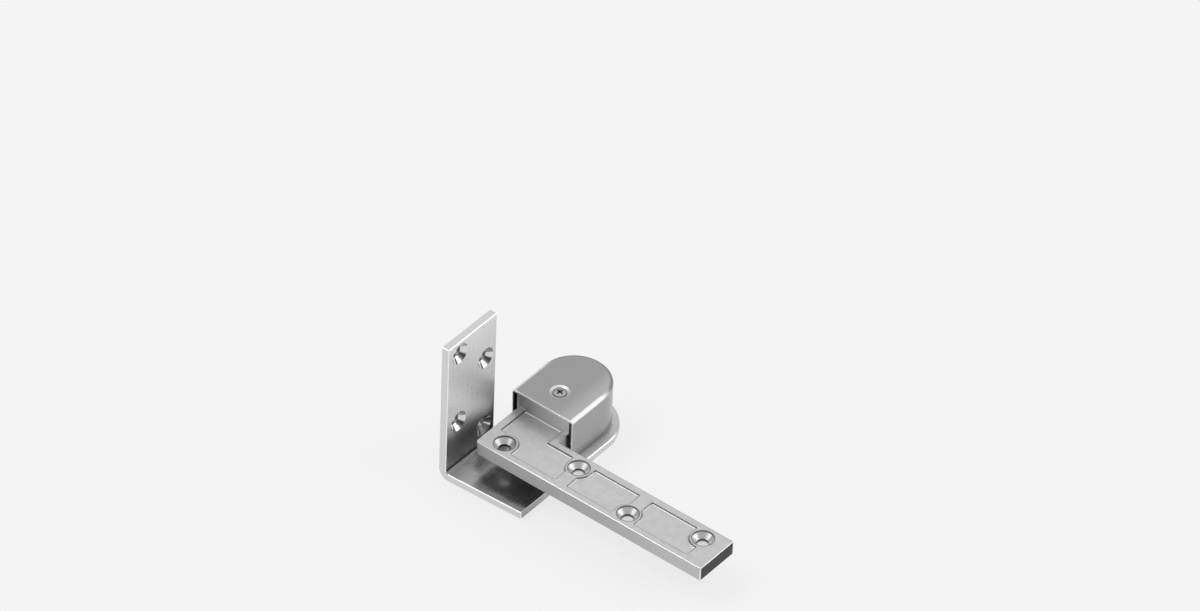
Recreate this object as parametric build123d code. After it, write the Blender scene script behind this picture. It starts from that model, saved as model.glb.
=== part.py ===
# Offset pivot hinge, bottom set, for a heavy swing door.
# A bent floor bracket is screwed to the jamb and carries a fixed spindle. A cast door arm turns on
# the spindle with its knuckle, on a thrust ball bearing and two bushes, under a pressed cover.
# Frame: the origin is on the pivot axis at the underside of the floor plate, +Z goes up the axis,
# +X along the arm to its free end, +Y from the door to the rounded end. All sizes are millimetres.
from build123d import *
import os
from math import cos, pi, radians, sin, tan

# Fits and edges shared by several pieces
running_gap = 0.05      # radial, between the spindle and what turns on it
seat_gap = 0.02         # radial, where a piece is pressed or screwed into its seat
turning_gap = 0.4       # radial and axial, between pieces that turn past each other
edge_break = 0.3        # chamfer on sawn and turned edges
screw_clear_radius = 3.4    # hole for an M6 countersunk screw

# Floor bracket
plate_thickness = 4.8
plate_end_radius = 24.9     # rounded end, round the pivot axis
plate_reach = 77.1          # from the pivot axis to the front edge, at the leg
plate_shear = 2.2           # the front edge runs back by this much towards its free corner
leg_offset = 25.2           # from the pivot axis to the inner face of the leg
leg_height = 92.0           # top of the leg above the floor
leg_width = 40.1
bend_inner_radius = 1.8
bend_outer_radius = 6.6         # the corner is pressed fuller than the plate is thick
relief_width = 3.0          # notch in the plate behind the leg, so that it can be bent
bend_lap = 2.0              # how far the bent piece runs on into the flat plate
leg_sink_radius = 6.3
leg_hole_front = 9.7        # front column of holes, from the front edge
leg_hole_rear = 8.6         # rear column of holes, from the rear edge
leg_hole_top = 8.5          # highest hole below the top of the leg
leg_hole_pitch = 48.2       # between the two holes of one column
leg_hole_stagger = 17.7     # the rear column is this much lower

# Spindle, fixed in the floor plate
spindle_radius = 6.0
foot_radius = 6.0           # pressed through the plate and riveted over
foot_flare = 2.0            # how far the riveted end spreads
collar_radius = 12.6
collar_height = 1.5
neck_radius = 5.0           # above the journal, for the washer and the ring
spindle_top_gap = 1.2       # from the spindle's end to the underside of the cover

# Thrust ball bearing, 12 x 26 x 9
bearing_height = 9.0
bearing_radius = 13.0
race_thickness = 2.5
ball_radius = 2.38
ball_circle_radius = 9.5
ball_count = 10
ball_groove_radius = 2.5
ball_gap = 0.03             # between a ball and the bottom of its groove
cage_thickness = 1.6
cage_inner_radius = 6.9
cage_outer_radius = 12.3

# Door arm: a casting in one piece with the neck and the knuckle
arm_length = 152.8
arm_width = 28.2
arm_thickness = 9.0
arm_underside = 15.0        # height above the floor
arm_overhang = 16.3         # left end of the arm, left of the pivot axis
arm_offset = 35.3           # rear edge of the arm, in front of the pivot axis
arm_corner_radius = 1.8     # upright front corner of the left end
arm_end_radius = 0.8        # upright corners of the free end
arm_edge_radius = 0.5       # rounding of the cast upper edges
arm_foot_radius = 0.8       # rounding of the cast lower edges
rim_width = 4.1             # raised border round the shallow pockets
left_rim = 4.6              # the same at the left end
pocket_depth = 1.1
pocket_draft = 20.0         # degrees, slope of the pocket walls
pocket_corner_radius = 1.1
pocket_rim_radius = 0.3     # cast rounding of a pocket's upper edge
pocket_foot_radius = 0.6    # the same where its wall meets its floor
boss_radius = 7.4           # raised ring round each screw hole
front_web = 4.1             # half width of the web behind a front hole
rear_web = 3.9              # half width of the web before a rear hole
pocket_head = 15.6          # front line of the neck pocket's wing, from the front edge
pocket_tail = 1.5           # the last pocket ends this much beyond the last hole
arm_hole_first = 13.0       # from the left end
arm_hole_last = 13.8        # from the free end
arm_hole_count = 4
arm_hole_inset = 8.7        # each row of holes from its long edge
arm_sink_radius = 6.0
arm_sink_step = 1.0         # straight wall above the cone

# Knuckle, the block at the root of the arm
knuckle_radius = 17.9       # half width, and the radius of the rear
knuckle_front = 26.9        # front face, in front of the pivot axis
knuckle_underside = 5.8     # height above the floor
neck_root = 4.0             # how far the neck runs on inside the knuckle
root_radius = 1.0           # cast fillet where the neck pocket meets the knuckle
bush_wall = 1.0
bush_length = 5.0
end_recess_radius = 8.1     # round hole in the top, for the washer and the ring
end_recess_depth = 5.0

# Retaining washer and ring
washer_thickness = 1.2
washer_lift = 0.15          # free play above the floor of the recess
ring_thickness = 1.0
ring_band = 1.5             # radial width of the open ring
ring_groove_depth = 0.25
ring_mouth = 50.0           # degrees, the open side
lug_radius = 1.2
lug_hole_radius = 0.5

# Cover, deep-drawn from sheet
cover_radius = 20.6         # half width, and the radius of the rear
cover_front = 27.7          # open front, in front of the pivot axis
cover_top = 34.4            # height above the floor
cover_bottom = 7.7
cover_wall = 1.2
cover_bend_radius = 1.9     # outside of the bend from the top to the sides
cover_edge_radius = 0.3     # rounding of the sheet's outer edge at the open front

# Cover screw, M4 countersunk with a cross recess
screw_offset = 12.8         # in front of the pivot axis
screw_radius = 2.0
screw_head_radius = 3.9
screw_length = 9.5
screw_sink_radius = 4.6     # of the countersink's cone, where it would meet the cover's top
dimple_radius = 5.2         # mouth of the shallow dimple pressed round the countersink
dimple_slope = 27.0         # degrees, of the dimple's side
dimple_lip = 0.8            # rounding of its mouth
screw_rim = 0.25            # straight edge of the head
cross_radius = 2.3
cross_width = 1.1
cross_depth = 1.8
cross_turn = -8.0           # degrees, how the screw happens to stand

# Worked out from the sizes above
bend_line = -leg_offset + bend_inner_radius
bend_end = bend_line + bend_lap
collar_top = plate_thickness + collar_height
bearing_top = collar_top + bearing_height
ball_height = collar_top + bearing_height / 2
groove_centre = ball_groove_radius - ball_radius - ball_gap
knuckle_top = cover_top - cover_wall
end_recess_floor = knuckle_top - end_recess_depth
bush_radius = spindle_radius + running_gap + bush_wall
washer_height = end_recess_floor + washer_lift
ring_height = washer_height + washer_thickness
spindle_top = knuckle_top - spindle_top_gap
arm_top = arm_underside + arm_thickness
arm_front = -arm_offset - arm_width
arm_hole_pitch = (arm_length - arm_hole_first - arm_hole_last) / (arm_hole_count - 1)
neck_root_y = -knuckle_front + neck_root
dimple_run = tan(radians(dimple_slope))
dimple_depth = (dimple_radius - screw_sink_radius) * dimple_run / (1 - dimple_run)
head_height = cover_top - (screw_sink_radius - screw_head_radius - seat_gap) + screw_rim


def ring(outer, inner, low, high):
    """A plain round ring on the pivot axis."""
    return Pos(0, 0, low) * extrude(Circle(outer) - Circle(inner), high - low)


def rod(radius, low, high):
    """A plain round cutter on the pivot axis."""
    return Pos(0, 0, low) * extrude(Circle(radius), high - low)


def turned(points):
    """A turned piece from (radius, height) points."""
    return revolve(Plane.XZ * make_face(Polyline(*points, close=True)), Axis.Z)


def between(x0, x1, y0, y1):
    """Rectangle between two x and two y values."""
    return Pos((x0 + x1) / 2, (y0 + y1) / 2) * Rectangle(abs(x1 - x0), abs(y1 - y0))


def tongue(half_width, front):
    """Outline with a square front and a rounded rear, round the pivot axis."""
    straight = Pos(0, -front / 2) * Rectangle(2 * half_width, front)
    return straight + Circle(half_width)


def sink_cutter(hole_radius, sink_radius, step, depth):
    """Cutter for a countersunk hole: mouth at height 0, the hole runs down to -depth."""
    cone_end = -step - (sink_radius - hole_radius)
    points = [(0, 1), (sink_radius, 1), (sink_radius, -step), (hole_radius, cone_end),
              (hole_radius, -depth), (0, -depth)]
    return turned(points)


def leg_hole_places():
    """(y, z) of the four staggered holes of the leg."""
    front_y = -plate_reach + leg_hole_front
    rear_y = -plate_reach + leg_width - leg_hole_rear
    high = leg_height - leg_hole_top
    return [(y, high - drop - row * leg_hole_pitch)
            for y, drop in ((front_y, 0), (rear_y, leg_hole_stagger)) for row in range(2)]


def arm_hole_places():
    """(x, y) of the holes of the arm, front row and rear row in turn."""
    rows = (arm_front + arm_hole_inset, -arm_offset - arm_hole_inset)
    return [(-arm_overhang + arm_hole_first + i * arm_hole_pitch, rows[i % 2])
            for i in range(arm_hole_count)]


def sharp_edges(body):
    """Edges where two faces of a body meet at a clear angle, so not the lines of a bend."""
    sides = [(face, face.edges()) for face in body.faces()]
    found = ShapeList()
    for edge in body.edges():
        normals = [face.normal_at(edge @ 0.5) for face, edges in sides if edge in edges]
        if normals[0].dot(normals[1]) < 0.5:
            found.append(edge)
    return found


def bracket_profile():
    """Section of the bend and the leg, looking along +Y."""
    outer_x = -leg_offset - plate_thickness
    inner_x = -leg_offset
    corners = [(bend_end, 0), (outer_x, 0), (outer_x, leg_height), (inner_x, leg_height),
               (inner_x, plate_thickness), (bend_end, plate_thickness)]
    section = make_face(Polyline(*corners, close=True))
    outer = section.vertices().sort_by_distance((outer_x, 0))[0]
    section = fillet(outer, bend_outer_radius)
    inner = section.vertices().sort_by_distance((inner_x, plate_thickness))[0]
    return fillet(inner, bend_inner_radius)


def plate_outline():
    """Outline of the flat plate on the floor, with the relief notch behind the leg."""
    leg_rear = -plate_reach + leg_width
    free_corner = (plate_end_radius, plate_shear - plate_reach)
    strip = make_face(Polyline((bend_line, -plate_reach), (bend_end, -plate_reach), free_corner,
                               (plate_end_radius, 0), (bend_line, 0), close=True))
    side = between(-plate_end_radius, bend_line, leg_rear + relief_width, 0)
    notch = Pos(bend_line, leg_rear + relief_width / 2) * Circle(relief_width / 2)
    return strip + side + Circle(plate_end_radius) - notch


def floor_bracket():
    """Stainless plate, bent up into the jamb leg."""
    plate = extrude(plate_outline(), plate_thickness)
    leg_rear = -plate_reach + leg_width
    leg = Pos(0, leg_rear, 0) * extrude(Plane.XZ * bracket_profile(), leg_width)
    bracket = plate + leg
    bracket = chamfer(sharp_edges(bracket), edge_break)
    foot = sink_cutter(foot_radius + seat_gap, foot_radius + foot_flare + seat_gap, 0,
                       plate_thickness + 1)
    bracket -= Rot(180, 0, 0) * foot
    hole = sink_cutter(screw_clear_radius, leg_sink_radius, 0, plate_thickness + 1)
    for y, z in leg_hole_places():
        bracket -= Pos(-leg_offset, y, z) * Rot(0, 90, 0) * hole
    return bracket


def pivot_spindle():
    """Turned pin: riveted foot, collar, journal, and a neck with a ring groove."""
    groove = neck_radius - ring_groove_depth
    ring_top = ring_height + ring_thickness + 2 * seat_gap
    points = [
        (0, 0), (foot_radius + foot_flare, 0), (foot_radius, foot_flare),
        (foot_radius, plate_thickness), (collar_radius - edge_break, plate_thickness),
        (collar_radius, plate_thickness + edge_break), (collar_radius, collar_top - edge_break),
        (collar_radius - edge_break, collar_top), (spindle_radius, collar_top),
        (spindle_radius, washer_height - edge_break), (spindle_radius - edge_break, washer_height),
        (neck_radius, washer_height), (neck_radius, ring_height), (groove, ring_height),
        (groove, ring_top), (neck_radius, ring_top), (neck_radius, spindle_top - 2 * edge_break),
        (neck_radius - 2 * edge_break, spindle_top), (0, spindle_top)]
    return turned(points)


def race(inner, outer, low, groove_z):
    """Bearing race with a rolled groove for the balls."""
    body = chamfer(ring(outer, inner, low, low + race_thickness).edges(), edge_break)
    return body - Pos(0, 0, groove_z) * Torus(ball_circle_radius, ball_groove_radius)


def lower_race():
    return race(spindle_radius + seat_gap, bearing_radius - turning_gap, collar_top,
                ball_height + groove_centre)


def upper_race():
    return race(spindle_radius + turning_gap, bearing_radius, bearing_top - race_thickness,
                ball_height - groove_centre)


def ball_places():
    """(x, y) of the balls, evenly round the pivot axis."""
    turns = [2 * pi * i / ball_count for i in range(ball_count)]
    return [(ball_circle_radius * cos(a), ball_circle_radius * sin(a)) for a in turns]


def ball_cage():
    """Flat ring that keeps the balls apart."""
    low = ball_height - cage_thickness / 2
    cage = ring(cage_outer_radius, cage_inner_radius, low, low + cage_thickness)
    for x, y in ball_places():
        cage -= Pos(x, y, ball_height) * Cylinder(ball_radius + running_gap, 2 * cage_thickness)
    return cage


def pocket_outlines():
    """The three shallow pockets of the arm's top: the areas between the holes and the rim."""
    holes = arm_hole_places()
    front = arm_front + rim_width
    rear = -arm_offset - rim_width
    left = -arm_overhang + left_rim
    webs = []
    for i, (x, y) in enumerate(holes):
        near, far, narrow = (front, rear, front_web) if i % 2 == 0 else (rear, front, rear_web)
        if i == 0 or i == len(holes) - 1:
            narrow = 0
        webs.append(between(x - boss_radius, x + boss_radius, y, near) + Pos(x, y) * Circle(boss_radius))
        if narrow:
            webs[-1] += between(x - narrow, x + narrow, y, far)
    outlines = []
    for i in range(len(holes) - 1):
        start = holes[i][0]
        end = holes[i + 1][0] + (pocket_tail if i == len(holes) - 2 else 0)
        area = between(start, end, front, rear)
        if i == 0:
            wing_front = arm_front + pocket_head
            area += between(left, start, wing_front, rear)
            area += between(left, knuckle_radius - rim_width, rear, neck_root_y)
        outlines.append(area - webs[i] - webs[i + 1])
    return outlines


def pocket_cutters():
    """Cutters for the pockets, with sloping walls and rounded corners."""
    cutters = []
    for outline in pocket_outlines():
        core = offset(outline, -pocket_corner_radius, kind=Kind.INTERSECTION)
        rounded = offset(core, pocket_corner_radius, kind=Kind.ARC)
        cutter = extrude(rounded, pocket_depth, dir=(0, 0, -1), taper=pocket_draft)
        cutter = fillet(cutter.faces().sort_by(Axis.Z)[0].edges(), pocket_foot_radius)
        cutters.append(Pos(0, 0, arm_top) * cutter)
    return cutters


def door_arm():
    """Investment-cast arm with its neck and knuckle."""
    plate = between(-arm_overhang, arm_length - arm_overhang, arm_front, -arm_offset)
    plate += between(-arm_overhang, knuckle_radius, -arm_offset, neck_root_y)
    left_front = plate.vertices().sort_by_distance((-arm_overhang, arm_front))[0]
    plate = fillet(left_front, arm_corner_radius)
    free_end = plate.vertices().group_by(Axis.X)[-1]
    plate = fillet(free_end, arm_end_radius)
    arm = Pos(0, 0, arm_underside) * extrude(plate, arm_thickness)
    arm = fillet(arm.faces().sort_by(Axis.Z)[-1].edges(), arm_edge_radius)
    arm = fillet(arm.faces().sort_by(Axis.Z)[0].edges(), arm_foot_radius)
    for cutter in pocket_cutters():
        arm -= cutter
    top = arm.faces().sort_by(Axis.Z)[-1]
    rims = [edge for wire in top.inner_wires() for edge in wire.edges()]
    arm = fillet(rims, pocket_rim_radius)
    knuckle = extrude(tongue(knuckle_radius, knuckle_front), knuckle_top - knuckle_underside)
    arm += Pos(0, 0, knuckle_underside) * knuckle
    root = arm.edges().sort_by_distance((0, -knuckle_front, arm_top - pocket_depth))[0]
    arm = fillet(root, root_radius)
    hole = sink_cutter(screw_clear_radius, arm_sink_radius, arm_sink_step, arm_thickness + 1)
    for x, y in arm_hole_places():
        arm -= Pos(x, y, arm_top) * hole
    arm -= rod(bearing_radius + seat_gap, knuckle_underside - 1, bearing_top)
    arm -= rod(bush_radius + seat_gap, bearing_top - 1, end_recess_floor + 1)
    arm -= rod(end_recess_radius, end_recess_floor, knuckle_top + 1)
    arm -= screw_seat(knuckle_top)
    return arm


def screw_seat(face):
    """Cutter for the screw's cone and tapped hole, from the height of a face down."""
    step_down = cover_top - face
    sink = screw_sink_radius - step_down
    cutter = sink_cutter(screw_radius + seat_gap, sink, 0, screw_length)
    return Pos(0, -screw_offset, face) * cutter


def bush(low):
    """Plain bush pressed into the knuckle."""
    return ring(bush_radius, spindle_radius + running_gap, low, low + bush_length)


def lower_bush():
    return bush(bearing_top + seat_gap)


def upper_bush():
    return bush(end_recess_floor - bush_length)


def retaining_washer():
    return ring(end_recess_radius - turning_gap, neck_radius + seat_gap, washer_height, ring_height)


def retaining_ring():
    """Open spring ring with two lugs, snapped into the spindle's groove."""
    inner = neck_radius - ring_groove_depth + seat_gap
    outer = inner + ring_band
    half_mouth = radians(ring_mouth / 2)
    reach = 2 * outer
    wedge = make_face(Polyline((0, 0), (reach, reach * tan(half_mouth)),
                               (reach, -reach * tan(half_mouth)), close=True))
    outline = Circle(outer) - Circle(inner) - wedge
    lug_circle = inner + lug_radius
    for side in (-1, 1):
        turn = side * (half_mouth + lug_radius / lug_circle)
        lug = Pos(lug_circle * cos(turn), lug_circle * sin(turn))
        outline = outline + lug * Circle(lug_radius) - lug * Circle(lug_hole_radius)
    outline -= Circle(inner)
    return Pos(0, 0, ring_height + seat_gap) * extrude(outline, ring_thickness)


def cover():
    """Drawn cap over the knuckle: open underneath and in front, with a dimple for the screw."""
    shell = Pos(0, 0, cover_bottom) * extrude(tongue(cover_radius, cover_front), cover_top - cover_bottom)
    shell = fillet(cap_edges(shell, cover_front), cover_bend_radius)
    inside_front = cover_front + cover_wall
    inside_half = cover_radius - cover_wall
    inside = Pos(0, 0, cover_bottom - 1) * extrude(
        tongue(inside_half, inside_front), knuckle_top - cover_bottom + 1)
    inside = fillet(cap_edges(inside, inside_front), cover_bend_radius - cover_wall)
    dimple = turned([(0, 0), (dimple_radius, 0), (screw_sink_radius - dimple_depth, -dimple_depth),
                     (0, -dimple_depth)])
    sheet = shell - inside - screw_seat(cover_top) - Pos(0, -screw_offset, cover_top) * dimple
    mouth = sheet.edges().sort_by_distance((dimple_radius, -screw_offset, cover_top))[0]
    sheet = fillet(mouth, dimple_lip)
    front = sheet.faces().sort_by(Axis.Y)[0].outer_wire().edges()
    outside = front.filter_by(lambda e: e.center().X ** 2 > inside_half ** 2 or e.center().Z > knuckle_top)
    return fillet(outside, cover_edge_radius)


def cap_edges(body, front):
    """Edges round the top of a tongue-shaped body, without the one across its front."""
    top = body.faces().sort_by(Axis.Z)[-1].edges()
    return top.filter_by(lambda e: e.center().Y > -front + edge_break)


def cover_screw():
    """Countersunk machine screw with a cross recess."""
    rim_low = -screw_rim
    cone_end = rim_low - (screw_head_radius - screw_radius)
    tip = -screw_length + 2 * edge_break
    points = [(0, 0), (screw_head_radius, 0), (screw_head_radius, rim_low), (screw_radius, cone_end),
              (screw_radius, tip), (screw_radius - edge_break, tip - edge_break), (0, tip - edge_break)]
    screw = turned(points)
    for turn in (0, 90):
        slot = loft([Rectangle(2 * cross_radius, cross_width),
                     Pos(0, 0, -cross_depth) * Rectangle(cross_radius, cross_width / 2)])
        screw -= Rot(0, 0, turn) * slot
    return Pos(0, -screw_offset, head_height) * Rot(0, 0, cross_turn) * screw


nodes = {
    "floor_bracket": floor_bracket(),
    "pivot_spindle": pivot_spindle(),
    "lower_race": lower_race(),
    "ball_cage": ball_cage(),
    "upper_race": upper_race(),
    "door_arm": door_arm(),
    "lower_bush": lower_bush(),
    "upper_bush": upper_bush(),
    "retaining_washer": retaining_washer(),
    "retaining_ring": retaining_ring(),
    "cover": cover(),
    "cover_screw": cover_screw(),
}
for number, (x, y) in enumerate(ball_places(), start=1):
    nodes[f"thrust_ball_{number:02d}"] = Pos(x, y, ball_height) * Sphere(ball_radius)

os.makedirs("parts", exist_ok=True)
for name, solid in nodes.items():
    solid.label = name
    export_step(solid, f"parts/{name}.step")
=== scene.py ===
from math import cos, hypot, pi, radians, sin
import bpy
from mathutils import Matrix, Vector


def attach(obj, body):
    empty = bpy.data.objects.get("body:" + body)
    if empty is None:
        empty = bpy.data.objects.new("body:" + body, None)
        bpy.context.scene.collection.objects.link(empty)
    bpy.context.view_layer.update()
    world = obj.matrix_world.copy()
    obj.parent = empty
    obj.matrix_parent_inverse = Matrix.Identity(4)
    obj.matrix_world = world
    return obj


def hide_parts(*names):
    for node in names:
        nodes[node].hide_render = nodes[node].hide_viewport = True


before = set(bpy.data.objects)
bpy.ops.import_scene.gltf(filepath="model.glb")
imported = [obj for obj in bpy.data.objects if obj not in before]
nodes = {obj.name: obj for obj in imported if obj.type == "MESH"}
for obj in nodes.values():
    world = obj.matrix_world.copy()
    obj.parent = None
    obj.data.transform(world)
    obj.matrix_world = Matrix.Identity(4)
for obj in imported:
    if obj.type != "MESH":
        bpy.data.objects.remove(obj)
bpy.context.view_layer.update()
scene = bpy.context.scene
scene.view_settings.view_transform = "Standard"
bpy.ops.object.select_all(action="DESELECT")


# Camera
# A long lens looks down at the hinge from the front right, and is turned a little, so that the
# uprights lean as they do in the picture. It aims so that the focus point lands in its own place.
azimuth = radians(37.1118)
elevation = radians(42.2828)
lean = radians(2.48596)
distance = 5.0
focus = Vector((0.045, -0.020, 0.020))
picture_width, picture_height = 1200, 611
focus_across, focus_down = 616.2935, 455.5298       # where the focus point lands, in pixels
pixels_per_metre = 1880.04
film_width = 36

back = Vector((sin(azimuth) * cos(elevation), -cos(azimuth) * cos(elevation), sin(elevation)))
level_right = Vector((cos(azimuth), sin(azimuth), 0))
level_up = back.cross(level_right)
right = level_right * cos(lean) + level_up * sin(lean)
up = level_up * cos(lean) - level_right * sin(lean)
lens_pixels = pixels_per_metre * distance
to_focus = Vector((focus_across - picture_width / 2, picture_height / 2 - focus_down, -lens_pixels))
aim = to_focus.rotation_difference(Vector((0, 0, -1)))

camera = bpy.data.objects.new("camera", bpy.data.cameras.new("camera"))
scene.collection.objects.link(camera)
camera.data.sensor_fit = "HORIZONTAL"
camera.data.sensor_width = film_width
camera.data.lens = film_width * lens_pixels / picture_width
camera.data.clip_end = 4 * distance
stance = Matrix((right, up, back)).transposed() @ aim.to_matrix()
camera.matrix_world = Matrix.Translation(focus + back * distance) @ stance.to_4x4()
scene.camera = camera


# Floor bracket
# One bent piece of 4.8 mm stainless plate: the flat part lies on the floor, the leg is screwed to
# the jamb. It is sheared, brushed across, bent, drilled and countersunk, and its sharp edges are
# broken with a file.
plate_grain = (5200, 240, 0)        # brush marks to the metre: along the bent strip, and across it
end_grain = (400, 240, 5200)        # marks of the shears on the plate's end
mill_relief, brushed_relief = 0.000006, 0.000009    # depth of the marks
wave_rate, wave_height = (60, 130, 60), 0.0004      # the rolled sheet isn't quite flat
noise_span = (0.3, 0.7)             # nearly all values of a noise lie between these
along_x, along_y, along_z = (1, 0, 0), (0, 1, 0), (0, 0, 1)
satin_and_shaded_plate = (-0.032, -0.022)      # along Y, where the plate's mill shine gives way to satin, and where the plate top's painted shade ends
satin_leg = (0.021, 0.056)          # the same up the leg
corner_slope = (0, -1.5, 1)         # along this slope lies the leg's low corner by the knuckle
shaded_corner = (0.070, 0.094)        # it is painted dark up to here, as painted shade, and bright from there
shaded_end_span = (-0.066, -0.030)         # along Y, the plate's sheared end is painted darker towards the door, as painted shade

leg_face = -0.0252                  # inner face of the leg
leg_sinks = [(-0.0674, 0.0835), (-0.0674, 0.0353), (-0.0456, 0.0658), (-0.0456, 0.0176)]
leg_sink_reach = 0.0064             # a hole's faces lie within this of its axis
bend_edge = (-0.0233, 0.0068)       # the bend's curves lie left of and below these
plate_end = 0.0249                  # the plate's sheared end, along X
plate_level = 0.006                 # a little above the plate's top
spindle_zone = 0.020                # edges nearer to the pivot axis than this get no painted highlight
filed_front = -0.030                # along Y, the upright edges in front of this get the painted highlight too
hair = 0.0001                       # how far a face may be off its place

# Parts of a face's normal, which tell what kind of face it is
straight_on = 0.99                  # a flat face looks along its axis by more than this
aslant = 0.8                        # a filed edge looks along every axis by less than this,
filed_tilt = 0.3                    # and up or down by more than this, unless it is upright
cone_tilt = (0.3, 0.9)              # a countersink's cone looks along its hole by this much
sideways = 0.1                      # the bend's own faces look along Y by less than this
dark_line = 0.85                    # painted shade: a dark line is painted where the bend meets the leg,
faint_line = (0.9, 0.995)           # and a finer one where it meets the plate


def stretched(metal, rates):
    """Object coordinates, scaled differently along X, Y and Z."""
    tree = metal.node_tree
    where = tree.nodes.new("ShaderNodeTexCoord")
    mapping = tree.nodes.new("ShaderNodeMapping")
    mapping.inputs["Scale"].default_value = rates
    tree.links.new(where.outputs["Object"], mapping.inputs["Vector"])
    return mapping.outputs["Vector"]


def along_strip(metal, rates):
    """Scaled coordinates that run up the leg of the bent strip as they run along its plate."""
    tree = metal.node_tree
    where = tree.nodes.new("ShaderNodeTexCoord")
    split = tree.nodes.new("ShaderNodeSeparateXYZ")
    along = tree.nodes.new("ShaderNodeMath")
    along.operation = "SUBTRACT"
    strip = tree.nodes.new("ShaderNodeCombineXYZ")
    scaled = tree.nodes.new("ShaderNodeVectorMath")
    scaled.operation = "MULTIPLY"
    scaled.inputs[1].default_value = rates
    tree.links.new(where.outputs["Object"], split.inputs["Vector"])
    tree.links.new(split.outputs["X"], along.inputs[0])
    tree.links.new(split.outputs["Z"], along.inputs[1])
    tree.links.new(along.outputs["Value"], strip.inputs["X"])
    tree.links.new(split.outputs["Y"], strip.inputs["Y"])
    tree.links.new(strip.outputs["Vector"], scaled.inputs[0])
    return scaled.outputs["Vector"]


def noise_at(metal, place, detail):
    """Noise at a place, which is a socket that gives a scaled position."""
    noise = metal.node_tree.nodes.new("ShaderNodeTexNoise")
    noise.inputs["Scale"].default_value = 1
    noise.inputs["Detail"].default_value = detail
    metal.node_tree.links.new(place, noise.inputs["Vector"])
    return noise.outputs["Fac"]


def mapped(metal, value, span, results):
    """A node whose result goes from results[0] to results[1] as the value goes through its span."""
    change = metal.node_tree.nodes.new("ShaderNodeMapRange")
    change.inputs["From Min"].default_value, change.inputs["From Max"].default_value = span
    change.inputs["To Min"].default_value, change.inputs["To Max"].default_value = results
    metal.node_tree.links.new(value, change.inputs["Value"])
    return change


def add_relief(metal, height, depth, normal):
    """The height becomes relief of a depth in metres, and goes to a socket that takes a normal."""
    bump = metal.node_tree.nodes.new("ShaderNodeBump")
    bump.inputs["Strength"].default_value = 1
    bump.inputs["Distance"].default_value = depth
    metal.node_tree.links.new(height, bump.inputs["Height"])
    metal.node_tree.links.new(bump.outputs["Normal"], normal)


def worked_metal(name, grey, roughness, grain, detail, relief, spread, place=stretched, metallic=1):
    """A bare metal with the marks of its making: grain is marks to the metre along X, Y and Z,
    relief their depth in metres, and spread how far the roughness goes up and down with them."""
    metal = bpy.data.materials.new(name)
    metal.use_nodes = True
    shader = metal.node_tree.nodes["Principled BSDF"]
    shader.inputs["Base Color"].default_value = (grey, grey, grey, 1)
    shader.inputs["Metallic"].default_value = metallic
    shader.inputs["Roughness"].default_value = roughness
    marks = noise_at(metal, place(metal, grain), detail)
    add_relief(metal, marks, relief, shader.inputs["Normal"])
    uneven = mapped(metal, marks, noise_span, (roughness - spread, roughness + spread))
    metal.node_tree.links.new(uneven.outputs["Result"], shader.inputs["Roughness"])
    return metal


def fade_along(metal, slope, stretch, values, name):
    """One of the shader's values changes from values[0] to values[1] over a stretch of a slope."""
    tree = metal.node_tree
    where = tree.nodes.new("ShaderNodeTexCoord")
    climbed = tree.nodes.new("ShaderNodeVectorMath")
    climbed.operation = "DOT_PRODUCT"
    climbed.inputs[1].default_value = slope
    tree.links.new(where.outputs["Object"], climbed.inputs[0])
    change = mapped(metal, climbed.outputs["Value"], stretch, values)
    change.interpolation_type = "SMOOTHSTEP"
    tree.links.new(change.outputs["Result"], tree.nodes["Principled BSDF"].inputs[name])


def give(piece, *metals):
    """The piece holds these metals and nothing else, and the first one covers it."""
    piece.data.materials.clear()
    for metal in metals:
        piece.data.materials.append(metal)


def dress(piece, face, metal):
    """This face of the piece shows the metal, which is one of those that the piece was given."""
    face.material_index = piece.data.materials.find(metal.name)


mill_plate = worked_metal("mill plate", grey=0.66, roughness=0.21, grain=plate_grain, detail=3,
                          relief=mill_relief, spread=0.04, place=along_strip)
fade_along(mill_plate, along_y, satin_and_shaded_plate, (1, 0.45), "Metallic")
plate_top = worked_metal("plate top", grey=0.66, roughness=0.26, grain=plate_grain, detail=3,
                         relief=mill_relief, spread=0.04, place=along_strip)
fade_along(plate_top, along_y, satin_and_shaded_plate, (1, 0.12), "Metallic")
# painted shade: the plate top is painted darker towards the door, where the arm stands over it
fade_along(plate_top, along_y, satin_and_shaded_plate, (0.38, 0.71), "Base Color")
waves = noise_at(plate_top, stretched(plate_top, wave_rate), detail=1)
add_relief(plate_top, waves, wave_height, plate_top.node_tree.nodes["Bump"].inputs["Normal"])
brushed_leg = worked_metal("brushed leg", grey=0.84, roughness=0.3, grain=plate_grain, detail=3,
                           relief=brushed_relief, spread=0.04, place=along_strip)
fade_along(brushed_leg, along_z, satin_leg, (1, 0.53), "Metallic")
# painted shade: the leg's low corner by the knuckle is painted dark
fade_along(brushed_leg, corner_slope, shaded_corner, (0.22, 0.96), "Base Color")
# painted shade: the sheared end's grey darkens towards the door
sheared_end = worked_metal("sheared end", grey=0.34, roughness=0.24, grain=end_grain, detail=3,
                           relief=mill_relief, spread=0.04)
fade_along(sheared_end, along_y, shaded_end_span, (0.34, 0.66), "Base Color")
cut_sink = worked_metal("cut countersink", grey=0.68, roughness=0.1, grain=(3000, 3000, 3000),
                        detail=2, relief=0.000003, spread=0.03)
# painted shade: the walls of the leg's drilled holes are painted dark
drilled = worked_metal("shaded drilled wall", grey=0.16, roughness=0.35, grain=(4000, 2000, 2000),
                       detail=2, relief=0.00001, spread=0.05)
# painted highlight: the filed edges are painted near white
highlit_filed_edge = worked_metal("highlit filed edge", grey=0.97, roughness=0.26, grain=(2000, 2000, 2000),
                          detail=2, relief=0.00001, spread=0.04)
# painted shade: the bend's creases are painted near black
shaded_bend = worked_metal("shaded bend", grey=0.08, roughness=0.35, grain=(2000, 2000, 2000),
                            detail=2, relief=0.00002, spread=0.06)

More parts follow.
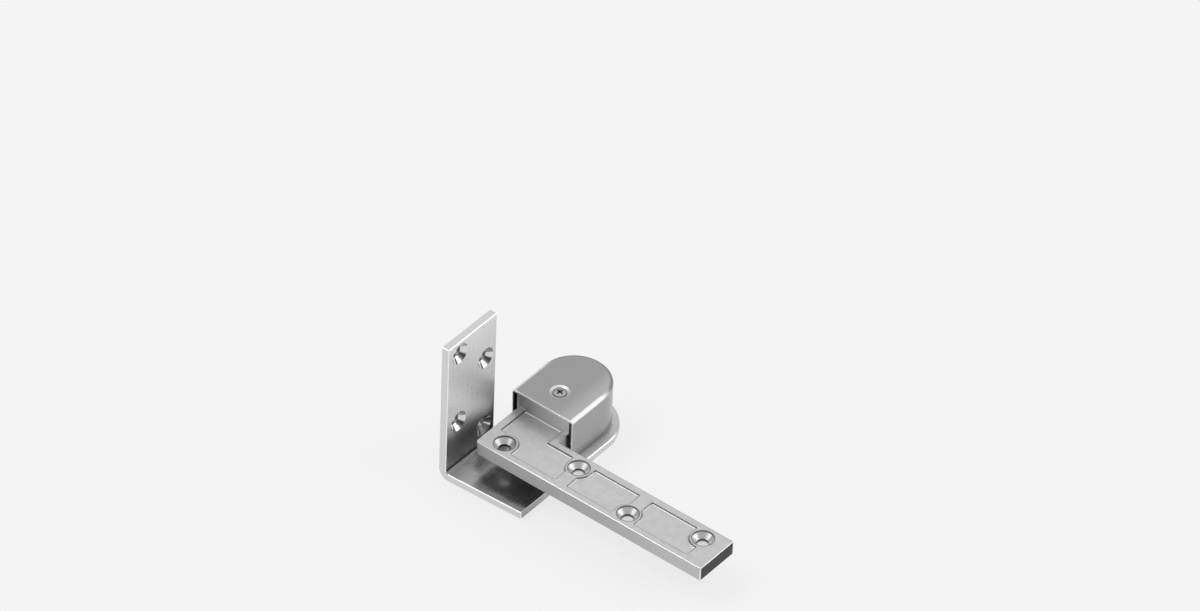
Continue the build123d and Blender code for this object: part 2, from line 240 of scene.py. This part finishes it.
bracket = nodes["floor_bracket"]
give(bracket, mill_plate, cut_sink, drilled, highlit_filed_edge, brushed_leg, plate_top, shaded_bend,
     sheared_end)
for face in bracket.data.polygons:
    x, y, z = face.center
    facing_x, facing_y, facing_z = face.normal
    slanting = max(abs(part) for part in face.normal) < aslant
    reached = hypot(x, y) > spindle_zone and (abs(facing_z) > filed_tilt or y < filed_front)
    nearest = min(hypot(y - hole_y, z - hole_z) for hole_y, hole_z in leg_sinks)
    if x < leg_face - hair and nearest < leg_sink_reach and abs(facing_x) < cone_tilt[1]:
        dress(bracket, face, cut_sink if abs(facing_x) > cone_tilt[0] else drilled)
    elif x < bend_edge[0] and z < bend_edge[1] and abs(facing_y) < sideways:
        if facing_x > dark_line or faint_line[0] < facing_z < faint_line[1]:
            dress(bracket, face, shaded_bend)
    elif slanting and reached:
        dress(bracket, face, highlit_filed_edge)
    elif facing_x > straight_on and x < leg_face + hair:
        dress(bracket, face, brushed_leg)
    elif facing_z > straight_on and z < plate_level:
        dress(bracket, face, plate_top)
    elif facing_x > straight_on and x > plate_end - hair:
        dress(bracket, face, sheared_end)


# Spindle
# A turned and ground stainless pin, pressed into the plate and riveted over underneath. Its collar
# carries the bearing. The marks of the tool run round it.
turned_steel = worked_metal("turned steel", grey=0.68, roughness=0.2, grain=(400, 400, 9000),
                            detail=2, relief=0.000006, spread=0.04)
give(nodes["pivot_spindle"], turned_steel)


# Thrust bearing
# Two hardened races, ground and polished, with ten balls between them in a pressed brass cage. The
# lower race stays on the spindle's collar, the upper one turns with the knuckle.
brass_yellow = (0.72, 0.5, 0.22, 1)

bearing_steel = worked_metal("bearing steel", grey=0.74, roughness=0.07, grain=(2500, 2500, 2500),
                             detail=2, relief=0.000001, spread=0.02)
pressed_brass = worked_metal("pressed brass", grey=1, roughness=0.28, grain=(1500, 1500, 1500),
                             detail=3, relief=0.000004, spread=0.05)
pressed_brass.node_tree.nodes["Principled BSDF"].inputs["Base Color"].default_value = brass_yellow
for name in nodes:
    if name.startswith("thrust_ball") or name.endswith("race"):
        give(nodes[name], bearing_steel)
give(nodes["ball_cage"], pressed_brass)


# Door arm
# A stainless investment casting, blasted all over, with rounded edges, which are painted brighter as
# painted highlight. The screw seats are bored afterwards, and the free end, where the runner was
# sawn off, is painted near black as painted shade.
cast_grain, side_grain = (2200, 2200, 2200), (1500, 1500, 1500)
bored_grain = (900, 900, 6000)
cast_relief = 0.00003
cast_grey, shaded_rim_grey = 0.64, 0.12
rim_reach = 0.0008                  # painted shade lies within this of the rims of the pockets,
rim_share = (0.62, 0.92)            # and fades as this share of the space behind the skin is metal
blotch_rate, blotch_depth = (260, 260, 260), 0.09   # blotches left by blasting and handling
blotch_span = (0.35, 0.65)
soft_edge = 0.0006                  # light falls on the casting's edges as if they were this round
edge_samples = 8                    # rays for each look at a rim or an edge
hole_shade_span = (0.0180, 0.0196)        # the screw holes' walls are painted darker towards the cone above them, as painted shade
pale_end = (0.050, 0.130)           # along X, the arm's front is painted a little paler to its free end, as painted light
knuckle_shade = (-0.0180, -0.0030)  # the knuckle's front is painted darker on the left, under the cover, as painted shade

arm_front, arm_rear = -0.0635, -0.0353
arm_left, arm_end = -0.0163, 0.1365
arm_underside, arm_top = 0.015, 0.024
arm_sinks = [(-0.0033, -0.0548), (0.0387, -0.0440), (0.0807, -0.0548), (0.1227, -0.0440)]
arm_sink_reach, arm_hole_reach = 0.0061, 0.0036     # from a hole's axis to its cone and its wall
edge_reach = 0.0011                 # the rounded edges lie within this of the arm's sides
pocket_depth, pocket_rim = 0.0011, 0.0004           # down to its floor, and through its rounded rim
neck_side = (0.017, 0.019)          # the neck's right side lies between these
past_neck = 0.0185                  # from here on the arm's rear edge is free
before_knuckle = -0.0275            # the arm and its neck lie in front of this
knuckle_front = -0.0269
skin, film = 0.00005, 0.00002       # how far the casting's sides and top may be off their places

# Parts of a face's normal again
drafted = 0.97                      # a cast or sawn wall looks along its axis by more than this
pocket_floor = 0.995                # a pocket's floor looks up by more than this
pocket_wall = 0.6                   # and its walls by less than this
backwards = 0.1                     # the slopes at its front and right look back by more than this

cast_steel = worked_metal("cast steel", grey=0.62, roughness=0.4, grain=cast_grain, detail=3,
                          relief=cast_relief, spread=0.05, metallic=0.8)
# painted shade: the arm's front face is painted darker than its top, and paler to its free end
shaded_cast_side = worked_metal("shaded cast side", grey=0.48, roughness=0.42, grain=side_grain, detail=4,
                         relief=2 * cast_relief, spread=0.06)
fade_along(shaded_cast_side, along_x, pale_end, (0.43, 0.55), "Base Color")
# painted shade: the knuckle's front grows darker to the left
knuckle_face = worked_metal("knuckle face", grey=0.62, roughness=0.4, grain=cast_grain, detail=3,
                            relief=cast_relief, spread=0.05, metallic=0.8)
fade_along(knuckle_face, along_x, knuckle_shade, (0.32, 0.66), "Base Color")
bored_seat = worked_metal("bored seat", grey=0.72, roughness=0.38, grain=bored_grain, detail=2,
                          relief=0.00001, spread=0.05)
# painted shade: the arm's screw hole walls are dark under the cone and pale lower down
hole_wall = worked_metal("arm hole wall", grey=0.5, roughness=0.4, grain=bored_grain, detail=2,
                         relief=0.00001, spread=0.05)
fade_along(hole_wall, along_z, hole_shade_span, (0.85, 0.06), "Base Color")
# painted shade: the steep walls of the pockets, the seats and the neck are painted darker than the
# top
shaded_steep_wall = worked_metal("shaded steep cast wall", grey=0.36, roughness=0.45, grain=cast_grain, detail=3,
                          relief=cast_relief, spread=0.05)
# painted shade: the pockets' rims that look back are painted near black
shaded_pocket_rim = worked_metal("shaded pocket rim", grey=shaded_rim_grey, roughness=0.5, grain=side_grain, detail=3,
                         relief=cast_relief, spread=0.08)
# painted highlight: the feet of the pocket walls that look forward or right are painted brighter
highlit_pocket_foot = worked_metal("highlit pocket foot", grey=0.74, roughness=0.4, grain=cast_grain, detail=3,
                           relief=cast_relief, spread=0.05)
# painted shade: the arm's free end is painted near black
shaded_free_end = worked_metal("shaded free end", grey=0.055, roughness=0.42, grain=(1000, 500, 4500), detail=3,
                        relief=0.00003, spread=0.06)
# painted highlight: the arm's rounded edges are painted brighter
highlit_edge = worked_metal("highlit edge", grey=0.86, roughness=0.32, grain=(1200, 1200, 1200), detail=3,
                         relief=0.00003, spread=0.08)

tree = cast_steel.node_tree
# painted shade: the cast steel is painted darker near its rims, where little metal lies behind the
# skin
rim = tree.nodes.new("ShaderNodeAmbientOcclusion")
rim.inside = True
rim.only_local = True
rim.samples = edge_samples
rim.inputs["Distance"].default_value = rim_reach
rim_shade = mapped(cast_steel, rim.outputs["AO"], rim_share, (shaded_rim_grey, cast_grey))
blotches = noise_at(cast_steel, stretched(cast_steel, blotch_rate), detail=3)
stain = mapped(cast_steel, blotches, blotch_span, (1 - blotch_depth, 1))
stained = tree.nodes.new("ShaderNodeMath")
stained.operation = "MULTIPLY"
tree.links.new(rim_shade.outputs["Result"], stained.inputs[0])
tree.links.new(stain.outputs["Result"], stained.inputs[1])
tree.links.new(stained.outputs["Value"], tree.nodes["Principled BSDF"].inputs["Base Color"])
for metal in (cast_steel, shaded_cast_side):
    tree = metal.node_tree
    rounded = tree.nodes.new("ShaderNodeBevel")
    rounded.samples = edge_samples
    rounded.inputs["Radius"].default_value = soft_edge
    tree.links.new(rounded.outputs["Normal"], tree.nodes["Bump"].inputs["Normal"])

arm = nodes["door_arm"]
give(arm, cast_steel, bored_seat, shaded_steep_wall, shaded_free_end, highlit_edge, shaded_pocket_rim, shaded_cast_side, highlit_pocket_foot,
     hole_wall, knuckle_face)
for face in arm.data.polygons:
    x, y, z = face.center
    facing_x, facing_y, facing_z = face.normal
    level = abs(facing_z)
    turned = max(abs(part) for part in face.normal) < drafted
    to_side = min(y - arm_front, arm_end - x, x - arm_left)
    if x > past_neck:
        to_side = min(to_side, arm_rear - y)
    nearest = min(hypot(x - hole_x, y - hole_y) for hole_x, hole_y in arm_sinks)
    below_top = z < arm_top - film
    in_pocket = arm_top - pocket_depth < z < arm_top and y < before_knuckle
    if below_top and nearest < arm_hole_reach and level < cone_tilt[0]:
        dress(arm, face, hole_wall)
    elif below_top and nearest < arm_sink_reach and level < cone_tilt[1]:
        dress(arm, face, bored_seat if level > cone_tilt[0] else shaded_steep_wall)
    elif facing_x > drafted and x > arm_end - skin:
        dress(arm, face, shaded_free_end)
    elif turned and to_side < edge_reach and arm_underside - hair < z < arm_top:
        dress(arm, face, highlit_edge)
    elif facing_y < -drafted and y < arm_front + skin:
        dress(arm, face, shaded_cast_side)
    elif facing_x > drafted and neck_side[0] < x < neck_side[1] and y < before_knuckle:
        dress(arm, face, shaded_steep_wall)
    elif facing_y < -drafted and abs(y - knuckle_front) < hair and z > arm_top - pocket_depth:
        dress(arm, face, knuckle_face)
    elif in_pocket and to_side > edge_reach and level < pocket_floor:
        towards_back = facing_y > backwards or facing_x < -backwards
        if level < pocket_wall:
            dress(arm, face, shaded_steep_wall)
        elif z > arm_top - pocket_rim and towards_back:
            dress(arm, face, shaded_pocket_rim)
        elif z < arm_top - pocket_rim and not towards_back:
            dress(arm, face, highlit_pocket_foot)


# Bushes
# Two plain bushes of sintered bronze, pressed into the knuckle's bore. They turn with it on the
# spindle, and hold their own oil.
bronze_brown = (0.58, 0.4, 0.24, 1)

bronze = worked_metal("sintered bronze", grey=1, roughness=0.42, grain=(4000, 4000, 4000),
                      detail=3, relief=0.00002, spread=0.06)
bronze.node_tree.nodes["Principled BSDF"].inputs["Base Color"].default_value = bronze_brown
give(nodes["lower_bush"], bronze)
give(nodes["upper_bush"], bronze)


# Washer and ring
# A turned washer lies in the knuckle's upper recess, and an open ring of phosphated spring steel
# snaps into the spindle's groove above it.
spring_steel = worked_metal("spring steel", grey=0.1, roughness=0.45, grain=(2500, 2500, 2500),
                            detail=3, relief=0.00001, spread=0.06)
give(nodes["retaining_washer"], turned_steel)
give(nodes["retaining_ring"], spring_steel)


# Cover
# A cap drawn from 1.2 mm stainless sheet and satin brushed from front to back outside, with a dimple
# pressed in for its screw. It slips over the knuckle and is open towards the door.
cover_grain = (5200, 240, 5200)
cover_relief = 0.00003
bend_fade = (-0.004, 0.008)         # the painted highlight on the bend ends where its curve begins
sheen_side = (0.006, 0.019)        # along X, the top is painted a little brighter on the right, a painted sheen

sheet_middle = 0.0200               # half way through the side wall, from the pivot axis
sheet_underside = 0.03325           # a little above the underside of the top
high_inside = 0.03                  # any face above this that looks down is inside
dimple_place, dimple_reach = (0, -0.0128), 0.0056
cover_front = -0.0277
front_band = 0.0004                 # the sheared edge and its rounding lie this close to the front
bend_foot, top_level = 0.0324, 0.034        # the bend lies above the first, the top above the second

# Parts of a face's normal again
flat_on = 0.9                       # an end or an underside looks up or down by more than this
dimple_tilt = 0.995                 # the dimple and its lip look along no axis by more than this
bend_tilt = 0.9999                  # nor does the bend by more than this
front_tilt = 0.05                   # the sheared edge looks along Y by more than this

satin_sheet = worked_metal("satin sheet", grey=0.36, roughness=0.24, grain=cover_grain, detail=3,
                           relief=cover_relief, spread=0.05)
# painted sheen: the cover's top grows brighter towards its right bend
satin_top = worked_metal("satin top", grey=0.36, roughness=0.24, grain=cover_grain, detail=3,
                         relief=cover_relief, spread=0.05)
fade_along(satin_top, along_x, sheen_side, (0.35, 0.47), "Base Color")
# painted highlight: the cover's outer bend is painted bright
highlit_bend = worked_metal("highlit bend", grey=0.75, roughness=0.38, grain=cover_grain, detail=3,
                           relief=cover_relief / 3, spread=0.05)
fade_along(highlit_bend, along_y, bend_fade, (0.92, 0.36), "Base Color")
# painted shade: the cap's inside is painted dark
shaded_inside = worked_metal("shaded inside", grey=0.12, roughness=0.5, grain=(1500, 1500, 600),
                            detail=3, relief=0.00002, spread=0.06)
# painted highlight: the dimple is painted twice as bright as the sheet
highlit_dimple = worked_metal("highlit dimple", grey=0.72, roughness=0.34, grain=(1500, 1500, 1500),
                              detail=2, relief=0.00001, spread=0.04)
# painted highlight: the cover's sheared front edge is painted near white
highlit_sheared_edge = worked_metal("sheared edge", grey=0.92, roughness=0.3, grain=(2000, 2000, 2000),
                            detail=2, relief=0.00002, spread=0.06)

cover = nodes["cover"]
give(cover, satin_sheet, shaded_inside, highlit_dimple, highlit_sheared_edge, highlit_bend, satin_top)
for face in cover.data.polygons:
    x, y, z = face.center
    squareness = max(abs(part) for part in face.normal)
    from_axis = abs(x) if y < 0 else hypot(x, y)
    in_dimple = hypot(x - dimple_place[0], y - dimple_place[1]) < dimple_reach
    under_top = face.normal.z < -flat_on and z > high_inside
    if in_dimple and squareness < dimple_tilt:
        dress(cover, face, highlit_dimple)
    elif under_top or (from_axis < sheet_middle and z < sheet_underside):
        dress(cover, face, shaded_inside)
    elif y < cover_front + front_band and abs(face.normal.y) > front_tilt:
        dress(cover, face, highlit_sheared_edge)
    elif squareness < bend_tilt and z > bend_foot:
        dress(cover, face, highlit_bend)
    elif face.normal.z > straight_on and z > top_level:
        dress(cover, face, satin_top)


# Cover screw
# A raised countersunk screw, cold headed from stainless wire, with a cross recess and a rolled
# thread. It goes through the dimple into the knuckle and holds the cover down.
screw_axis = Vector((*dimple_place, 0))
head_radius, shank_radius, tip_share = 0.0039, 0.0017, 0.75
head_sides = 64
rim_low, rim_high, dome_height = 0.03372, 0.03382, 0.0005
cone_end, shank_end, tip_end = 0.0315, 0.0252, 0.02478
dome_rings = (0.0035, 0.0028, 0.0021, 0.0014, 0.0007)
wing_width, wing_length, wing_taper = 0.0012, 0.0052, 0.5
recess_depth = 0.0019
recess_top = 0.00025                # the recess cuts the dome below this height over the rim
wall_inside, wall_above = 0.0004, 0.001     # its walls lie this far inside the shank's surface, or
                                            # this far above the end of the cone
cross_turn = radians(-8)
thread_depth, thread_pitch, thread_turns, thread_steps = 0.00028, 0.0008, 7, 24
crease = radians(25)                # faces that meet at less than this are shaded as one
screw_grain = (2500, 2500, 2500)


def pick_faces(piece, wanted):
    """In edit mode, exactly the faces for which wanted(face) is true are selected."""
    bpy.ops.object.mode_set(mode="EDIT")
    bpy.ops.mesh.select_mode(type="FACE")
    bpy.ops.mesh.select_all(action="DESELECT")
    bpy.ops.object.mode_set(mode="OBJECT")
    for face in piece.data.polygons:
        face.select = wanted(face)
    bpy.ops.object.mode_set(mode="EDIT")


bpy.ops.object.select_all(action="DESELECT")
bpy.ops.mesh.primitive_cylinder_add(vertices=head_sides, radius=head_radius,
                                    depth=rim_high - rim_low,
                                    location=screw_axis + Vector((0, 0, (rim_high + rim_low) / 2)))
screw = bpy.context.active_object
screw.name = "raised_screw"
bpy.ops.object.transform_apply(location=True, rotation=True, scale=True)
pick_faces(screw, lambda face: face.normal.z < -flat_on)
for low, high, share in ((cone_end, rim_low, shank_radius / head_radius),
                         (shank_end, cone_end, 1),
                         (tip_end, shank_end, tip_share)):
    bpy.ops.mesh.extrude_region_move(TRANSFORM_OT_translate={"value": (0, 0, low - high)})
    bpy.ops.transform.resize(value=(share, share, 1), center_override=screw_axis)
pick_faces(screw, lambda face: face.normal.z > flat_on)
ring, climbed = head_radius, 0
for next_ring in dome_rings:
    height = dome_height * (1 - (next_ring / head_radius) ** 2)
    bpy.ops.mesh.inset(thickness=ring - next_ring, depth=height - climbed)
    ring, climbed = next_ring, height
bpy.ops.object.mode_set(mode="OBJECT")

for turn in (cross_turn, cross_turn + pi / 2):
    bpy.ops.object.select_all(action="DESELECT")
    bpy.ops.mesh.primitive_cube_add(size=1, location=screw_axis + Vector((0, 0, rim_high)),
                                    rotation=(0, 0, turn),
                                    scale=(wing_length, wing_width, 2 * recess_depth))
    wing = bpy.context.active_object
    pick_faces(wing, lambda face: face.normal.z < -flat_on)
    bpy.ops.transform.resize(value=(wing_taper, wing_taper, 1))
    bpy.ops.object.mode_set(mode="OBJECT")
    bpy.ops.object.transform_apply(location=True, rotation=True, scale=True)
    bpy.ops.object.select_all(action="DESELECT")
    screw.select_set(True)
    bpy.context.view_layer.objects.active = screw
    cut = screw.modifiers.new("recess", "BOOLEAN")
    cut.operation = "DIFFERENCE"
    cut.solver = "EXACT"
    cut.object = wing
    bpy.ops.object.modifier_apply(modifier=cut.name)
    bpy.data.objects.remove(wing)

bpy.ops.object.select_all(action="DESELECT")
bpy.ops.mesh.primitive_circle_add(vertices=4, radius=thread_depth, fill_type="NOTHING",
                                  location=screw_axis + Vector((0, 0, shank_end)),
                                  rotation=(pi / 2, 0, 0))
thread = bpy.context.active_object
bpy.ops.object.transform_apply(location=False, rotation=True, scale=True)
bpy.ops.object.mode_set(mode="EDIT")
bpy.ops.mesh.select_all(action="SELECT")
bpy.ops.transform.translate(value=(shank_radius, 0, 0))
bpy.ops.object.mode_set(mode="OBJECT")
helix = thread.modifiers.new("helix", "SCREW")
helix.axis = "Z"
helix.screw_offset = thread_pitch
helix.iterations = thread_turns
helix.steps = thread_steps
helix.render_steps = thread_steps
bpy.ops.object.modifier_apply(modifier=helix.name)
bpy.ops.object.transform_apply(location=True, rotation=True, scale=True)
bpy.ops.object.mode_set(mode="EDIT")
bpy.ops.mesh.select_all(action="SELECT")
bpy.ops.mesh.fill_holes(sides=4)
bpy.ops.mesh.normals_make_consistent(inside=False)
bpy.ops.object.mode_set(mode="OBJECT")
screw.select_set(True)
bpy.context.view_layer.objects.active = screw
bpy.ops.object.join()
bpy.ops.object.shade_smooth_by_angle(angle=crease)

headed_steel = worked_metal("headed steel", grey=0.42, roughness=0.14, grain=screw_grain,
                            detail=2, relief=0.000003, spread=0.04)
# painted shade: the cross recess is painted near black
shaded_recess = worked_metal("shaded recess", grey=0.02, roughness=0.5, grain=screw_grain,
                           detail=2, relief=0.000003, spread=0.04)
# painted shade: the head's rim and outer ring are painted dark, where head and dimple meet
shaded_head_edge = worked_metal("shaded head edge", grey=0.12, roughness=0.4, grain=screw_grain,
                          detail=2, relief=0.000003, spread=0.04)
give(screw, headed_steel, shaded_recess, shaded_head_edge)
for face in screw.data.polygons:
    x, y, z = face.center
    from_axis = hypot(x - screw_axis.x, y - screw_axis.y)
    in_cross = from_axis < wing_length / 2 + hair and z < rim_high + recess_top
    floor_of_cross = face.normal.z > flat_on
    inside = from_axis < shank_radius - wall_inside or z > cone_end + wall_above
    wall_of_cross = inside and z > rim_high - 2 * recess_depth and abs(face.normal.z) < flat_on
    if in_cross and (floor_of_cross or wall_of_cross):
        dress(screw, face, shaded_recess)
    elif from_axis > dome_rings[0] and z > rim_low:
        dress(screw, face, shaded_head_edge)
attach(screw, "arm")
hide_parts("cover_screw")


# Floor
# The hinge stands on a plain pale floor that runs out of sight. It is matt, glows a little of its
# own, and keeps the hinge's shadow.
floor_size, floor_drop = 8, 0.00005
floor_grey, floor_roughness, floor_glow = 0.18, 0.9, 0.72

bpy.ops.object.select_all(action="DESELECT")
bpy.ops.mesh.primitive_plane_add(size=floor_size, location=(0, 0, -floor_drop))
floor = bpy.context.active_object
floor.name = "floor"
floor_paint = bpy.data.materials.new("floor paint")
floor_paint.use_nodes = True
paint = floor_paint.node_tree.nodes["Principled BSDF"]
paint.inputs["Base Color"].default_value = (floor_grey, floor_grey, floor_grey, 1)
paint.inputs["Roughness"].default_value = floor_roughness
paint.inputs["Emission Color"].default_value = (1, 1, 1, 1)
paint.inputs["Emission Strength"].default_value = floor_glow
floor.data.materials.append(floor_paint)


# Sky and lamps
# A soft sky, brightest overhead and to the left and dark at the horizon, and five large soft lamps
# give the metal its bright and dark bands.
sky_slope = (-0.1, 0.22, 0.85)      # the sky grows brighter this way,
sky_span = (-0.1, 0.9)              # from here to there,
lowest_grey, highest_grey = 0.06, 1     # between these greys,
sky_greys = ((0.2, 0.06), (0.42, 0.16), (0.55, 0.55), (0.72, 0.72), (0.85, 1.0))    # by way of these
lamp_distance = 1.6
lamps = (("front lamp", (-0.446, -0.25, 0.86), 0.6, 0.6, 2.6),      # name, direction from the focus,
         ("back lamp", (0.73, 0.55, 0.38), 1.25, 0.8, 1.8),         # width, height and brightness
         ("left lamp", (-0.98, 0.04, 0.16), 0.5, 0.5, 1.2),
         ("right lamp", (0.68, -0.72, 0.22), 0.85, 0.6, 0.5),
         ("door lamp", (-0.446, -0.64, 0.62), 0.9, 0.7, 1.5))

sky = bpy.data.worlds.new("sky")
sky.use_nodes = True
scene.world = sky
tree = sky.node_tree
looking = tree.nodes.new("ShaderNodeTexCoord")
climb = tree.nodes.new("ShaderNodeVectorMath")
climb.operation = "DOT_PRODUCT"
climb.inputs[1].default_value = sky_slope
share = tree.nodes.new("ShaderNodeMapRange")
share.inputs["From Min"].default_value, share.inputs["From Max"].default_value = sky_span
fade = tree.nodes.new("ShaderNodeValToRGB")
tree.links.new(looking.outputs["Generated"], climb.inputs[0])
tree.links.new(climb.outputs["Value"], share.inputs["Value"])
tree.links.new(share.outputs["Result"], fade.inputs["Fac"])
tree.links.new(fade.outputs["Color"], tree.nodes["Background"].inputs["Color"])
fade.color_ramp.elements[0].color = (lowest_grey, lowest_grey, lowest_grey, 1)
fade.color_ramp.elements[1].color = (highest_grey, highest_grey, highest_grey, 1)
for place, grey in sky_greys:
    fade.color_ramp.elements.new(place).color = (grey, grey, grey, 1)

for name, towards, width, height, glow in lamps:
    data = bpy.data.lights.new(name, "AREA")
    data.shape = "RECTANGLE"
    data.size = width
    data.size_y = height
    data.energy = glow * pi * width * height
    lamp = bpy.data.objects.new(name, data)
    scene.collection.objects.link(lamp)
    lamp.location = focus + Vector(towards).normalized() * lamp_distance
    lamp.rotation_euler = Vector(towards).to_track_quat("Z", "Y").to_euler()
